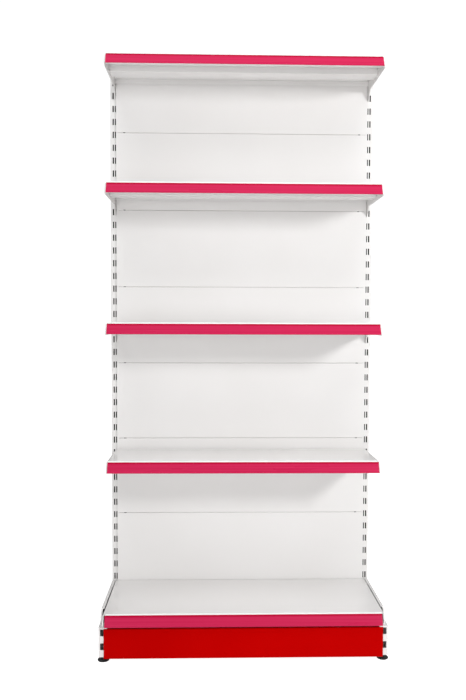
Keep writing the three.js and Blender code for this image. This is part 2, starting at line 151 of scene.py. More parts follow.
# The strips and their holders, down the nose or out from it.
HOLDER_CROWN = -5.0
HOLDER_SHOULDER = -0.4
HOLDER_FOOT = 39.2
HOLDER_BACK = 1.5
HOLDER_LIP = 3.1
HOLDER_LIP_THICKNESS = 0.5
HOLDER_LIP_SPAN = (-1.3, 0.2)
HOLDER_CORNER = 0.22
STRIP_TOP = -1.0
STRIP_FOOT = 41.0
STRIP_THICKNESS = 1.0
STRIP_LINE = 6.5  # where the sunk line along the top ends
STRIP_LINE_THICKNESS = 0.55
STRIP_RAMP = 0.5  # from the sunk line out to the strip's face
STRIP_EDGE = 0.1  # how far the bow starts behind the strip's face
STRIP_BOW = 0.12

STUD_HOLE = 5.3
THREAD_PITCH = 1.5
THREAD_DEPTH = 0.85
NUT_FLATS = 17.0
NUT_BORE = 5.1
NUT_BREAK = 0.5  # the chamfer of the bore
NUT_EDGE = 0.05  # the least drop from a nut's face to its edge
PAD_SOCKET = 6.0  # height of the floor of the pad's socket
PAD_DISH = 0.8  # height of the hollow under the pad
PAD_PINHOLE = 0.05  # the turned profile stops this short of the axis
PAD_CORNER = 0.9


def extent(node):
    """The lowest and highest corner of a CAD node in drawing millimetres."""
    low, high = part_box(node)
    shift = Vector((0, FACE_Y, 0))
    return (low - shift) / MM, (high - shift) / MM


def to_frame(x, y, z):
    """A drawing point in the frame's metres."""
    return Vector((x * MM, y * MM + FACE_Y, z * MM))


# ---- Outlines ---------------------------------------------------------------------------------


def rounded_corner(before, corner, after, radius, steps):
    """The points of the arc that rounds one corner of an outline, or a straight corner as it is."""
    straight = 0.02  # radians
    share = 0.48  # of an edge, so that the arcs at its two ends don't meet
    into = (corner - before).normalized()
    out = (after - corner).normalized()
    turn = math.atan2(into.x * out.y - into.y * out.x, into.dot(out))
    if abs(turn) < straight or radius <= 0:
        return [corner]
    room = share * min((corner - before).length, (after - corner).length)
    reach = min(radius * math.tan(abs(turn) / 2), room)
    radius = reach / math.tan(abs(turn) / 2)
    start = corner - into * reach
    side = math.copysign(1, turn)
    centre = start + Vector((-into.y, into.x)) * radius * side
    spoke = start - centre
    return [centre + Matrix.Rotation(turn * k / steps, 2) @ spoke for k in range(steps + 1)]


def rounded(points, radius, steps=4, closed=True):
    """An outline with its corners rounded."""
    path = [Vector(p) for p in points]
    result = []
    for i, corner in enumerate(path):
        if not closed and i in (0, len(path) - 1):
            result.append(corner)
            continue
        result += rounded_corner(path[i - 1], corner, path[(i + 1) % len(path)], radius, steps)
    return result


def rectangle(low, high):
    return [(low[0], low[1]), (high[0], low[1]), (high[0], high[1]), (low[0], high[1])]


def rounded_rectangle(low, high, radius, steps=5):
    return rounded(rectangle(low, high), radius, steps)


def offset(points, distance, closed=False):
    """The outline moved to its left by a distance, corner by corner."""
    result = []
    count = len(points)
    for i, point in enumerate(points):
        before = points[i - 1] if closed or i > 0 else None
        after = points[(i + 1) % count] if closed or i < count - 1 else None
        into = (point - before).normalized() if before else (after - point).normalized()
        out = (after - point).normalized() if after else into
        normal = Vector((-into.y - out.y, into.x + out.x)).normalized()
        reach = distance / normal.dot(Vector((-into.y, into.x)))
        result.append(point + normal * reach)
    return result


# ---- Solids -----------------------------------------------------------------------------------


def along_x(point, x):
    return to_frame(x, point.x, point.y)


def along_y(point, y):
    return to_frame(point.x, y, point.y)


def along_z(point, z):
    return to_frame(point.x, point.y, z)


def add_prism(bm, outline, low, high, place):
    """A solid with the same outline from one end to the other."""
    outline = [Vector(p) for p in outline]
    ends = [[bm.verts.new(place(p, along)) for p in outline] for along in (low, high)]
    faces = [bm.faces.new(ends[0]), bm.faces.new(reversed(ends[1]))]
    for i in range(len(outline)):
        j = (i + 1) % len(outline)
        faces.append(bm.faces.new((ends[0][i], ends[1][i], ends[1][j], ends[0][j])))
    bmesh.ops.recalc_face_normals(bm, faces=faces)


def add_sheet(bm, path, thickness, low, high, place, radius=BEND, closed=False):
    """A folded sheet. The path is on one face, and the thickness goes to its left."""
    outer = rounded(path, radius, closed=closed)
    inner = offset(outer, thickness, closed)
    rings = [
        [bm.verts.new(place(point, along)) for point in line]
        for line in (outer, inner)
        for along in (low, high)
    ]
    outer_low, outer_high, inner_low, inner_high = rings
    faces = []
    for i in range(len(outer) if closed else len(outer) - 1):
        j = (i + 1) % len(outer)
        faces.append(bm.faces.new((outer_low[i], outer_low[j], outer_high[j], outer_high[i])))
        faces.append(bm.faces.new((inner_low[j], inner_low[i], inner_high[i], inner_high[j])))
        faces.append(bm.faces.new((outer_low[i], inner_low[i], inner_low[j], outer_low[j])))
        faces.append(bm.faces.new((outer_high[j], inner_high[j], inner_high[i], outer_high[i])))
    if not closed:
        for i in (0, -1):
            faces.append(bm.faces.new((outer_low[i], outer_high[i], inner_high[i], inner_low[i])))
    bmesh.ops.recalc_face_normals(bm, faces=faces)


def add_box(bm, x, y, z):
    """A box between pairs of X, Y and Z."""
    add_prism(bm, rectangle((y[0], z[0]), (y[1], z[1])), min(x), max(x), along_x)


def add_rings(bm, rings, closed=True):
    """A surface through rings of points, each with the same count, capped or closed on itself."""
    made = [[bm.verts.new(to_frame(*p)) for p in ring] for ring in rings]
    pairs = list(zip(made, made[1:]))
    if closed:
        pairs.append((made[-1], made[0]))
    faces = []
    for low, high in pairs:
        for i in range(len(low)):
            j = (i + 1) % len(low)
            faces.append(bm.faces.new((low[i], low[j], high[j], high[i])))
    if not closed:
        faces += [bm.faces.new(made[0]), bm.faces.new(reversed(made[-1]))]
    bmesh.ops.recalc_face_normals(bm, faces=faces)


def round_angles(sides):
    return [2 * math.pi * i / sides for i in range(sides)]


def polar(x, y, z, radius, angle):
    """A point at a radius and an angle from an upright axis."""
    return (x + radius * math.cos(angle), y + radius * math.sin(angle), z)


def circle(x, y, z, radius, sides=48):
    """A level ring of points."""
    return [polar(x, y, z, radius, angle) for angle in round_angles(sides)]


def add_turned(bm, x, y, profile, sides):
    """A turned solid whose profile of (radius, height) closes on itself."""
    add_rings(bm, [circle(x, y, z, r, sides) for r, z in profile])


# ---- Pieces -----------------------------------------------------------------------------------


def new_object(name, bm):
    mesh = bpy.data.meshes.new(name)
    bm.to_mesh(mesh)
    bm.free()
    thing = bpy.data.objects.new(name, mesh)
    bpy.context.scene.collection.objects.link(thing)
    return thing


def apply_modifiers(thing):
    """Keeps the evaluated mesh and drops the modifiers."""
    depsgraph = bpy.context.evaluated_depsgraph_get()
    mesh = bpy.data.meshes.new_from_object(thing.evaluated_get(depsgraph), depsgraph=depsgraph)
    old = thing.data
    thing.modifiers.clear()
    thing.data = mesh
    bpy.data.meshes.remove(old)


def boolean(thing, operation, bm):
    """Joins or cuts a piece with the solids in bm."""
    tool = new_object("tool", bm)
    modifier = thing.modifiers.new("boolean", "BOOLEAN")
    modifier.operation = operation
    modifier.solver = "EXACT"
    modifier.object = tool
    apply_modifiers(thing)
    bpy.data.objects.remove(tool)


def finish_piece(thing, nodes, material, bevel=0.0, segments=2):
    """Rounds the cut edges, shades the piece, and lets it stand for its CAD nodes."""
    if bevel:
        rounding = thing.modifiers.new("bevel", "BEVEL")
        rounding.width = bevel * MM
        rounding.segments = segments
        rounding.limit_method = "ANGLE"
        rounding.angle_limit = SMOOTH_ANGLE
        rounding.use_clamp_overlap = True
        apply_modifiers(thing)
    thing.data.shade_smooth()
    thing.data.set_sharp_from_angle(angle=SMOOTH_ANGLE)
    flat = thing.modifiers.new("flat faces", "WEIGHTED_NORMAL")
    flat.keep_sharp = True
    flat.weight = 60
    apply_modifiers(thing)
    thing.data.materials.clear()
    thing.data.materials.append(material)
    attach(thing, BODY_OF[nodes[0]])
    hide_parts(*nodes)
    return thing


# ---- Materials --------------------------------------------------------------------------------

NOISE_SPAN = (0.3, 0.7)  # most values of a noise lie in this span
WHITE_COAT = {
    "dark": (0.84, 0.825, 0.815),
    "light": (0.87, 0.857, 0.85),
    "roughness": (0.16, 0.24),
    "gloss": 0.5,
}
# near-black painted shade for hollows the camera looks into; inside the uprights it also stands for
# unpainted steel
SHADE_AND_BARE_STEEL = (0.03, 0.028, 0.03)


class Paint:
    """A small builder for one procedural material in object space."""

    def __init__(self, name, **sockets):
        self.material = bpy.data.materials.new(name)
        self.material.use_nodes = True
        self.tree = self.material.node_tree
        self.shader = next(n for n in self.tree.nodes if n.type == "BSDF_PRINCIPLED")
        for socket, value in sockets.items():
            self.shader.inputs[socket.replace("_", " ")].default_value = value
        self.place = self.add("ShaderNodeTexCoord").outputs["Object"]

    def add(self, kind, **values):
        node = self.tree.nodes.new(kind)
        for key, value in values.items():
            setattr(node, key, value)
        return node

    def link(self, source, target):
        self.tree.links.new(source, target)

    def drive(self, socket, source):
        self.link(source, self.shader.inputs[socket])

    def stretched(self, scale):
        """The object's coordinates, scaled along each axis."""
        mapping = self.add("ShaderNodeMapping")
        mapping.inputs["Scale"].default_value = scale
        self.link(self.place, mapping.inputs["Vector"])
        return mapping.outputs["Vector"]

    def noise(self, scale, size=(1, 1, 1), detail=3.0):
        node = self.add("ShaderNodeTexNoise")
        node.inputs["Scale"].default_value = scale
        node.inputs["Detail"].default_value = detail
        node.inputs["Roughness"].default_value = 0.5
        self.link(self.stretched(size), node.inputs["Vector"])
        return node.outputs["Fac"]

    def between(self, noise, low, high):
        """A number that runs from low to high as a noise crosses its usual span."""
        node = self.add("ShaderNodeMapRange")
        node.inputs["From Min"].default_value = NOISE_SPAN[0]
        node.inputs["From Max"].default_value = NOISE_SPAN[1]
        node.inputs["To Min"].default_value = low
        node.inputs["To Max"].default_value = high
        self.link(noise, node.inputs["Value"])
        return node.outputs["Result"]

    def ramp(self, factor, *stops):
        """A colour that runs through (position, colour) stops."""
        node = self.add("ShaderNodeValToRGB")
        elements = node.color_ramp.elements
        while len(elements) < len(stops):
            elements.new(0.5)
        for element, (position, colour) in zip(elements, stops):
            element.position = position
            element.color = (*colour, 1)
        self.link(factor, node.inputs["Fac"])
        return node.outputs["Color"]

    def shades(self, noise, dark, light):
        """A colour that runs from dark to light as a noise crosses its usual span."""
        return self.ramp(noise, (NOISE_SPAN[0], dark), (NOISE_SPAN[1], light))

    def bump(self, height, distance):
        node = self.add("ShaderNodeBump")
        node.inputs["Strength"].default_value = 1.0
        node.inputs["Distance"].default_value = distance
        self.link(height, node.inputs["Height"])
        return node.outputs["Normal"]

    def calculate(self, operation, first, second=None):
        """One step of arithmetic on a socket, with a number or a socket as the second value."""
        node = self.add("ShaderNodeMath", operation=operation)
        self.link(first, node.inputs[0])
        if isinstance(second, (int, float)):
            node.inputs[1].default_value = second
        elif second:
            self.link(second, node.inputs[1])
        return node.outputs["Value"]

    def inside(self, value, low, high):
        """1 where a value lies between two limits, and 0 elsewhere."""
        from_middle = self.calculate("SUBTRACT", value, (low + high) / 2)
        return self.calculate("LESS_THAN", self.calculate("ABSOLUTE", from_middle), (high - low) / 2)


def powder_coat(name, dark, light, roughness, gloss, tint=(1, 1, 1)):
    """Semi-gloss powder coat: a faint orange peel, cloudy gloss and a slow drift of colour."""
    paint = Paint(name, Specular_IOR_Level=gloss, Specular_Tint=(*tint, 1))
    paint.drive("Base Color", paint.shades(paint.noise(2.2, detail=2.0), dark, light))
    paint.drive("Roughness", paint.between(paint.noise(9.0, detail=4.0), *roughness))
    paint.drive("Normal", paint.bump(paint.noise(420.0, detail=2.0), 0.000004))
    return paint


def coat_with_painted_shade(name, x_span, y_span):
    """The white coat, with near-black painted shade where |x| and y lie inside their spans in metres.
    """
    paint = powder_coat(name, **WHITE_COAT)
    coat = paint.shader.inputs["Base Color"].links[0].from_socket
    split = paint.add("ShaderNodeSeparateXYZ")
    paint.link(paint.place, split.inputs["Vector"])
    inside_x = paint.inside(paint.calculate("ABSOLUTE", split.outputs["X"]), *x_span)
    inside_y = paint.inside(split.outputs["Y"], *y_span)
    mix = paint.add("ShaderNodeMix", data_type="RGBA")
    mix.inputs["B"].default_value = (*SHADE_AND_BARE_STEEL, 1)
    paint.link(paint.calculate("MULTIPLY", inside_x, inside_y), mix.inputs["Factor"])
    paint.link(coat, mix.inputs["A"])
    paint.drive("Base Color", mix.outputs["Result"])
    return paint


def upright_coat():
    """The coat of the uprights, near-black inside the tubes: partly unpainted steel, mostly painted
    shade that keeps the slots dark.
    """
    low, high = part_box("right_upright")
    skin = 0.9 * UPRIGHT_WALL * MM  # the coat ends just before the wall's inner face
    x_span = (low.x + skin, high.x - skin)
    y_span = (low.y + skin, high.y - skin)
    return coat_with_painted_shade("upright_powder_coat", x_span, y_span)


def panel_coat():
    """The coat of the panels, with painted shade on the rims behind the notches at their seams, so the
    notches look dark.
    """
    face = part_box("back_panel_1")[0].y
    reach = NOTCH_WIDTH / 2
    x_span = ((NOTCH_X - reach) * MM, (NOTCH_X + reach) * MM)
    y_span = (face + 1.2 * SHEET * MM, face + PANEL_RIM * MM)  # from just behind the face
    return coat_with_painted_shade("panel_powder_coat", x_span, y_span)


def strip_plastic(name, dark, light):
    """Coloured PVC: lengthwise extrusion lines, some of them paler, and a drifting sheen."""
    paint = Paint(name, Specular_IOR_Level=0.25, Specular_Tint=(1, 0.6, 0.7, 1))
    lines = paint.noise(1.0, size=(1.5, 300.0, 500.0))
    paint.drive("Base Color", paint.shades(lines, dark, light))
    paint.drive("Roughness", paint.between(paint.noise(3.0, size=(1, 8, 8), detail=4.0), 0.25, 0.4))
    paint.drive("Normal", paint.bump(lines, 0.00003))
    return paint


def white_plastic():
    """White extruded or moulded PVC, slightly clouded and drawn out lengthwise."""
    paint = Paint("white_pvc", Specular_IOR_Level=0.5)
    cloud = paint.noise(14.0)
    paint.drive("Base Color", paint.shades(cloud, (0.84, 0.85, 0.84), (0.89, 0.9, 0.89)))
    paint.drive("Roughness", paint.between(cloud, 0.2, 0.3))
    paint.drive("Normal", paint.bump(paint.noise(1.0, size=(2.0, 400.0, 400.0)), 0.00004))
    return paint


def black_plastic():
    """Moulded black plastic with a fine spark-eroded grain and scuffed high spots."""
    paint = Paint("black_plastic", Specular_IOR_Level=0.45)
    scuff = paint.noise(90.0, detail=5.0)
    stops = ((0.35, (0.012, 0.012, 0.013)), (0.8, (0.045, 0.045, 0.047)))
    paint.drive("Base Color", paint.ramp(scuff, *stops))
    paint.drive("Roughness", paint.between(scuff, 0.42, 0.62))
    paint.drive("Normal", paint.bump(paint.noise(1800.0, detail=2.0), 0.00004))
    return paint


def zinc_plate():
    """Bright zinc plate with a faint warm and blue passivation and dulled patches."""
    paint = Paint("zinc_plate", Metallic=1.0)
    stops = ((0.3, (0.5, 0.52, 0.55)), (0.5, (0.6, 0.6, 0.6)), (0.75, (0.62, 0.58, 0.5)))
    paint.drive("Base Color", paint.ramp(paint.noise(70.0), *stops))
    paint.drive("Roughness", paint.between(paint.noise(240.0, detail=4.0), 0.22, 0.42))
    paint.drive("Normal", paint.bump(paint.noise(900.0), 0.00002))
    return paint


DECK_COAT = {**WHITE_COAT, "roughness": (0.07, 0.12)}
RED_COAT = {"dark": (0.465, 0, 0), "light": (0.52, 0, 0), "roughness": (0.3, 0.4), "gloss": 0.3}

WHITE = powder_coat("white_powder_coat", **WHITE_COAT).material
UPRIGHT_WHITE = upright_coat().material
PANEL_WHITE = panel_coat().material
DECK_WHITE = powder_coat("deck_powder_coat", **DECK_COAT).material
RED = powder_coat("red_powder_coat", **RED_COAT, tint=(1, 0, 0)).material
CRIMSON = strip_plastic("crimson_pvc", (0.51, 0.01, 0.066), (0.6, 0.022, 0.092)).material
# painted shadow: a darker crimson for the band along the top of each strip, under the holder's lip
SHADED_CRIMSON = strip_plastic("crimson_pvc_painted_shadow", (0.45, 0.0, 0.03), (0.5, 0.001, 0.04)).material
WHITE_PVC = white_plastic().material
BLACK = black_plastic().material
ZINC = zinc_plate().material


# ---- Uprights ---------------------------------------------------------------------------------


def slot_heights():
    return [SLOT_FIRST + SLOT_PITCH * i for i in range(SLOT_COUNT)]


def seam_heights():
    """The height of the seam under each back panel."""
    return [extent(f"back_panel_{i}")[0].z - GAP for i in range(1, PANEL_COUNT + 1)]


def add_slot(bm, middle, half_width, half_height, low, high, place):
    """A slot with rounded corners, cut from low to high."""
    outline = rounded_rectangle(
        (middle[0] - half_width, middle[1] - half_height),
        (middle[0] + half_width, middle[1] + half_height),
        SLOT_CORNER,
        steps=3,
    )
    add_prism(bm, outline, low, high, place)


def level_outline(low, high, inset, radius):
    """The outline of a box seen from above, with rounded corners and drawn in by an inset."""
    return rounded_rectangle(
        (low.x + inset, low.y + inset), (high.x - inset, high.y - inset), radius,
    )


def make_upright(side):
    node = f"{side}_upright"
    low, high = extent(node)
    middle = (low.x + high.x) / 2
    bm = bmesh.new()
    corners = rectangle((low.x, low.y), (high.x, high.y))
    add_sheet(bm, corners, UPRIGHT_WALL, low.z, high.z, along_z, UPRIGHT_CORNER, closed=True)
    tube = new_object(f"{side}_slotted_upright", bm)

    cuts = bmesh.new()
    front = (low.y - PAST, low.y + UPRIGHT_WALL + PAST)
    for z in slot_heights():
        for column in (-SLOT_COLUMN, SLOT_COLUMN):
            centre = (middle + column, z)
            add_slot(cuts, centre, SLOT_WIDTH / 2, SLOT_HEIGHT / 2, *front, along_y)
    inner = high.x if side == "left" else low.x
    wall = (inner - UPRIGHT_WALL - PAST, inner + UPRIGHT_WALL + PAST)
    for bottom in seam_heights():
        for up in HANGER_HEIGHTS:
            centre = (HANGER_Y + HANGER_THICKNESS / 2, bottom + up)
            add_slot(cuts, centre, 1.5 * HANGER_THICKNESS, HANGER_HALF_SLOT, *wall, along_x)
    boolean(tube, "DIFFERENCE", cuts)
    finish_piece(tube, [node], UPRIGHT_WHITE, bevel=0.25)


def make_cap(side):
    """A domed lid on a plug that fills the top of the tube."""
    node = f"{side}_upright_cap"
    low, high = extent(node)
    lid_foot = extent(f"{side}_upright")[1].z + GAP
    bm = bmesh.new()
    rings = []
    for inset, rise in CAP_DOME:
        z = lid_foot + rise * (high.z - lid_foot)
        rings.append([(p.x, p.y, z) for p in level_outline(low, high, inset, UPRIGHT_CORNER)])
    add_rings(bm, rings, closed=False)
    plug = level_outline(low, high, UPRIGHT_WALL + GAP, PLUG_CORNER)
    add_prism(bm, plug, low.z, lid_foot + CAP_LAP, along_z)
    finish_piece(new_object(f"{side}_end_cap", bm), [node], WHITE_PVC)


def make_base_plug(side):
    node = f"{side}_upright_base_plug"
    low, high = extent(node)
    centre = (low + high) / 2
    bm = bmesh.new()
    add_prism(bm, level_outline(low, high, 0, PLUG_CORNER), low.z, high.z, along_z)
    plug = new_object(f"{side}_threaded_plug", bm)
    bore = bmesh.new()
    ends = (low.z - WELL_PAST, high.z + WELL_PAST)
    add_rings(bore, [circle(centre.x, centre.y, z, STUD_HOLE) for z in ends], closed=False)
    boolean(plug, "DIFFERENCE", bore)
    finish_piece(plug, [node], BLACK, bevel=0.5)


# ---- Back panels ------------------------------------------------------------------------------


def add_hanger(bm, side, z, face):
    """A bent tab behind a panel that drops into a slot in the side of the upright."""
    inner = abs(extent("left_upright")[1].x)
    rest = z - HANGER_HALF_SLOT + GAP
    foot = rest - HANGER_DROP
    head = rest + HANGER_RISE
    behind = inner + UPRIGHT_WALL + GAP
    outline = [
        (HANGER_WEB, foot),
        (inner - GAP, foot),
        (inner - GAP, rest),
        (behind, rest),
        (behind, foot),
        (behind + HANGER_REACH[0], foot),
        (behind + HANGER_REACH[1], rest - HANGER_CHAMFER),
        (behind + HANGER_REACH[1], head),
        (HANGER_WEB, head),
    ]
    points = [(side * x, up) for x, up in outline]
    add_prism(bm, points, HANGER_Y, HANGER_Y + HANGER_THICKNESS, along_y)
    web = (side * HANGER_WEB, side * (HANGER_WEB + HANGER_THICKNESS))
    add_box(bm, web, (face + SHEET * 0.7, HANGER_Y + SEAT / 2), (foot, head))


def make_panel(number):
    """A pan: a face with rims at the top and bottom, folded sides, and four hangers behind."""
    node = f"back_panel_{number}"
    low, high = extent(node)
    face = low.y
    rim = face + PANEL_RIM
    bm = bmesh.new()
    path = [(rim, low.z), (face, low.z), (face, high.z), (rim, high.z)]
    add_sheet(bm, path, -SHEET, -PANEL_RIM_HALF, PANEL_RIM_HALF, along_x, PANEL_BEND)
    for side in (-1, 1):
        edge = [(side * PANEL_RIM_HALF, face), (side * PANEL_HALF, face), (side * PANEL_HALF, -GAP)]
        add_sheet(bm, edge, side * SHEET, low.z, high.z, along_z, PANEL_SIDE_BEND)
    panel = new_object(f"wall_panel_{number}", bm)

    cuts = bmesh.new()
    through = (face - PAST, face + NOTCH_DEPTH)
    for side in (-1, 1):
        across = [side * (NOTCH_X + reach) for reach in (-NOTCH_WIDTH / 2, NOTCH_WIDTH / 2)]
        add_box(cuts, across, through, (low.z - PAST, low.z + NOTCH_HEIGHT))
        add_box(cuts, across, through, (high.z - NOTCH_HEIGHT, high.z + PAST))
    boolean(panel, "DIFFERENCE", cuts)

    tabs = bmesh.new()
    tabs.from_mesh(panel.data)
    for side in (-1, 1):
        for up in HANGER_HEIGHTS:
            add_hanger(tabs, side, low.z - GAP + up, face)
    tabs.to_mesh(panel.data)
    tabs.free()
    finish_piece(panel, [node], PANEL_WHITE, bevel=0.12, segments=1)


# ---- Base feet and kick plate -----------------------------------------------------------------


def hook_points(z, wall_face, wall, neck, tooth, reach):
    """One hook in a slot centred at height z, from its foot to its top."""
    rest = z - SLOT_HEIGHT / 2 + GAP
    back = wall_face + wall + GAP
    return [
        (wall_face - GAP, rest),
        (back, rest),
        (back, rest - tooth),
        (back + 0.45 * (reach - wall), rest - tooth),
        (wall_face + reach, rest - 0.4 * tooth),
        (wall_face + reach, rest + neck),
        (wall_face - GAP, rest + neck),
    ]


def make_foot(side):
    """A folded beam with lips, stepped down at the front, and hooked into the upright."""
    node = f"{side}_base_foot"
    sign = -1 if side == "left" else 1
    low, high = extent(node)
    front = low.y
    rear = -GAP - PLATE
    near = min(abs(low.x), abs(high.x))
    far = max(abs(low.x), abs(high.x))
    middle = (near + far) / 2
    half_slot = FOOT_SLOT_WIDTH / 2
    inset = 2 * SEAT

    def across(inner, outer):
        return sorted((sign * inner, sign * outer))

    bm = bmesh.new()
    section = [
        (FOOT_LIPS[0], high.z),
        (near, high.z),
        (near, low.z),
        (far, low.z),
        (far, high.z),
        (FOOT_LIPS[1], high.z),
    ]
    section = [(sign * x, z) for x, z in section]
    add_sheet(bm, section, sign * FOOT_SHEET, front + FOOT_SHEET * LAP, -GAP, along_y, FOOT_BEND)
    foot = new_object(f"{side}_foot_beam", bm)

    cuts = bmesh.new()
    sides = (sign * middle - FOOT_CUT, sign * middle + FOOT_CUT)
    step_floor = FOOT_STEP_TOP - FOOT_SHEET * LAP
    step = [
        (front - WELL_PAST, step_floor),
        (FOOT_SLOPE[0][0], step_floor),
        *FOOT_SLOPE[1:],
        (FOOT_SLOPE[2][0], high.z + WELL_PAST),
        (front - WELL_PAST, high.z + WELL_PAST),
    ]
    add_prism(cuts, step, *sides, along_x)
    under_panels = (extent("back_panel_1")[0].y - PAST, WELL_PAST)  # room for the lowest panel
    rear_top = seam_heights()[0] - PAST
    add_box(cuts, sides, under_panels, (rear_top, high.z + WELL_PAST))
    boolean(foot, "DIFFERENCE", cuts)

    ridges = bmesh.new()
    slope = [*reversed(FOOT_SLOPE), (front + WELL_PAST, FOOT_STEP_TOP)]
    for inner, outer in ((near + SEAT, middle - half_slot), (middle + half_slot, far - SEAT)):
        add_sheet(ridges, slope, FOOT_SHEET, *across(inner, outer), along_x, FOOT_BEND)
    boolean(foot, "UNION", ridges)

    front_plate = bmesh.new()
    bent = [(front, low.z), (front, FOOT_STEP_TOP), (FOOT_SLOPE[0][0], FOOT_STEP_TOP)]
    add_sheet(front_plate, bent, -FOOT_SHEET, *across(near, far), along_x, FOOT_BEND)
    boolean(foot, "UNION", front_plate)

    rear_plate = bmesh.new()
    rear_sides = across(near + inset, far - inset)
    add_box(rear_plate, rear_sides, (rear, -GAP - SEAT / 2), (low.z + inset, rear_top))
    boolean(foot, "UNION", rear_plate)

    holes = bmesh.new()
    through = (front - 2 * PAST, front + FOOT_SHEET + 2 * PAST)
    for z in FOOT_SLOTS:
        add_slot(holes, (sign * middle, z), half_slot, SLOT_HEIGHT / 2, *through, along_y)
    stud_low, stud_high = extent(f"front_{side}_levelling_stud")
    centre = (stud_low + stud_high) / 2
    radius, top = FOOT_BORE
    add_rings(holes, [circle(centre.x, centre.y, z, radius) for z in (0, top)], closed=False)
    boolean(foot, "DIFFERENCE", holes)

    details = bmesh.new()
    details.from_mesh(foot.data)
    for z in slot_heights()[1:3]:
        points = hook_points(z, 0, UPRIGHT_WALL, **UPRIGHT_HOOK)
        points += [(rear + inset, z), (rear + inset, z - FOOT_HOOK_ROOT)]
        for column in (-SLOT_COLUMN, SLOT_COLUMN):
            x = sign * middle + column
            add_prism(details, rounded(points, HOOK_CORNER, 2), x - PLATE / 2, x + PLATE / 2, along_x)
    floor = low.z + FOOT_SHEET
    add_nut(details, centre.x, centre.y, low.z + FOOT_SHEET * 0.8, floor + WELD_NUT_HEIGHT)
    details.to_mesh(foot.data)
    details.free()
    finish_piece(foot, [node], WHITE, bevel=0.3)


def make_kick_plate():
    """A folded front whose flanges stop short of the feet, with hooks for their slots."""
    low, high = extent("kick_plate")
    half = high.x
    back = low.y + KICK_FLANGE
    bm = bmesh.new()
    path = [(back, high.z), (low.y, high.z), (low.y, low.z), (back, low.z)]
    add_sheet(bm, path, KICK_SHEET, -half, half, along_x, KICK_BEND)
    plate = new_object("kick_panel", bm)

    cuts = bmesh.new()
    behind = (low.y + KICK_BEND, low.y + KICK_CUT)
    for side in (-1, 1):
        end = (side * KICK_FLANGE_HALF, side * (half + WELL_PAST))
        add_box(cuts, end, behind, (low.z - PAST, high.z + PAST))
    boolean(plate, "DIFFERENCE", cuts)

    hooks = bmesh.new()
    hooks.from_mesh(plate.data)
    foot_front = extent("left_base_foot")[0].y
    root = low.y + KICK_SHEET / 2
    for side in (-1, 1):
        for z in FOOT_SLOTS:
            points = hook_points(z, foot_front, FOOT_SHEET, **KICK_HOOK)
            points += [(root, z), (root, z - KICK_HOOK_ROOT)]
            add_prism(hooks, points, *sorted(side * x for x in KICK_HOOK_X), along_x)
    hooks.to_mesh(plate.data)
    hooks.free()
    finish_piece(plate, ["kick_plate"], RED, bevel=0.3)


# ---- Shelves ----------------------------------------------------------------------------------


class Nose:
    """The leaning front of a tray, read from the tray's box."""

    def __init__(self, tray):
        low, high = extent(tray)
        self.level = high.z
        self.lean = math.acos((high.z - low.z) / NOSE_LENGTH)
        self.front = low.y + NOSE_LENGTH * math.sin(self.lean)
        self.foot = (low.y, low.z)

    def at(self, down, out):
        """The point at a distance down the nose and out from it."""
        return (
            self.front - down * math.sin(self.lean) - out * math.cos(self.lean),
            self.level - down * math.cos(self.lean) + out * math.sin(self.lean),
        )

    def path(self):
        foot_y, foot_z = self.foot
        return [(self.front, self.level), self.foot, (foot_y + NOSE_FLANGE, foot_z)]


def make_tray(node):
    low, high = extent(node)
    nose = Nose(node)
    bm = bmesh.new()
    path = [(high.y, nose.level - TRAY_FLANGE), (high.y, nose.level), *nose.path()]
    add_sheet(bm, path, SHEET, low.x, high.x, along_x)
    deck = new_object(node.replace("tray", "deck"), bm)
    finish_piece(deck, [node], DECK_WHITE, bevel=0.15, segments=1)


def make_base_shelf():
    """A top with shallow sides behind and deep ones in front, a rear flange and a nose."""
    high = extent("base_shelf")[1]
    nose = Nose("base_shelf")
    half = high.x
    level = nose.level
    fold = nose.front + NOSE_FOLD
    corner_width, corner_length = BASE_CORNER

    def top(depth):
        return [(-half, level - depth), (-half, level), (half, level), (half, level - depth)]

    bm = bmesh.new()
    add_sheet(bm, top(TRAY_FLANGE), -SHEET, FOOT_SLOPE[1][0], high.y, along_y)
    add_sheet(bm, top(BASE_CHEEK), -SHEET, fold, FOOT_SLOPE[1][0], along_y)
    rear = high.y - SEAT
    flange = [(rear, level - TRAY_FLANGE), (rear, level - 0.4 * SHEET)]
    add_sheet(bm, flange, SHEET, -BASE_REAR_HALF, BASE_REAR_HALF, along_x)
    add_sheet(bm, [(fold, level), *nose.path()], SHEET, -BASE_LIP_HALF, BASE_LIP_HALF, along_x)
    corner = [(fold, level), (nose.front, level), nose.at(corner_length, 0)]
    cheek = [
        (fold, level - 0.8 * SHEET),
        nose.at(1.5 * SHEET, -SHEET / 2),
        nose.at(corner_length, -SHEET / 2),
        (fold, level - BASE_CHEEK),
    ]
    for side in (-1, 1):
        add_sheet(bm, corner, SHEET, *sorted((side * (half - corner_width), side * half)), along_x)
        add_prism(bm, cheek, *sorted((side * (half - SHEET), side * half)), along_x)
    deck = new_object("base_deck", bm)
    finish_piece(deck, ["base_shelf"], DECK_WHITE, bevel=0.12, segments=1)


def make_rib(node):
    """A hat-shaped stiffener under a shelf."""
    low, high = extent(node)
    middle = (low.y + high.y) / 2
    half = RIB_WIDTH / 2
    up = high.z
    down = low.z + SHEET
    path = [
        (high.y, up),
        (middle + half, up),
        (middle + half, down),
        (middle - half, down),
        (middle - half, up),
        (low.y, up),
    ]
    bm = bmesh.new()
    add_sheet(bm, path, SHEET, low.x, high.x, along_x, RIB_BEND)
    rib = new_object(node.replace("rib", "stiffener"), bm)
    finish_piece(rib, [node], WHITE, bevel=0.12, segments=1)


